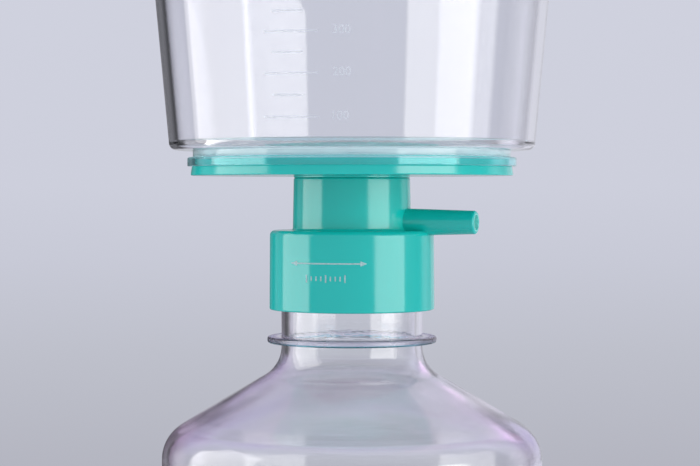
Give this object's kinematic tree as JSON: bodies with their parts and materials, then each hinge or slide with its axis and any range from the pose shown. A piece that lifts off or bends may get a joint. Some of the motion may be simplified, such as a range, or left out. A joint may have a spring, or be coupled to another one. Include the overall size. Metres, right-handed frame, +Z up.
{
  "type": "vacuum filtration unit",
  "caption": "Clear funnel on a teal support plate with a disc membrane, on a neck adapter with a hose nipple, screwed onto a clear receiver bottle.",
  "frame": {"origin": "centre of the bottle's base, on the surface it stands on", "axes": "+Z up along the axis of bottle and funnel, +X along the hose nipple"},
  "size_m": [0.134, 0.134, 0.3079],
  "materials": {
    "clear_polystyrene": "clear, polished mould",
    "teal_plastic": "glossy moulding",
    "membrane_film": "matt microporous film",
    "seal_rubber": "satin silicone",
    "plug_fibre": "compressed fibre"
  },
  "bodies": {
    "bottle": {"bottle": "clear_polystyrene"},
    "seal": {"gasket": "seal_rubber"},
    "filter_unit": {"neck_adapter": "teal_plastic", "port_plug": "plug_fibre", "filter_plate": "teal_plastic", "membrane": "membrane_film", "funnel": "clear_polystyrene"},
    "lid": {"lid": "clear_polystyrene"}
  },
  "joints": [
    {"name": "unit_lift", "type": "slide", "parent": "bottle", "child": "seal", "axis": [0, 0, 1], "range_m": [0, 0.0061]},
    {"name": "unit_turn", "type": "hinge", "parent": "seal", "child": "filter_unit", "pos_m": [0, 0, 0.174], "axis": [0, 0, 1], "range_deg": [0, 540]},
    {"name": "lid_lift", "type": "slide", "parent": "filter_unit", "child": "lid", "axis": [0, 0, 1], "range_m": [0, 0.03]}
  ],
  "couplings": [
    {"joint": "unit_lift", "follows": "unit_turn", "m_per_rad": 0.00063662}
  ]
}
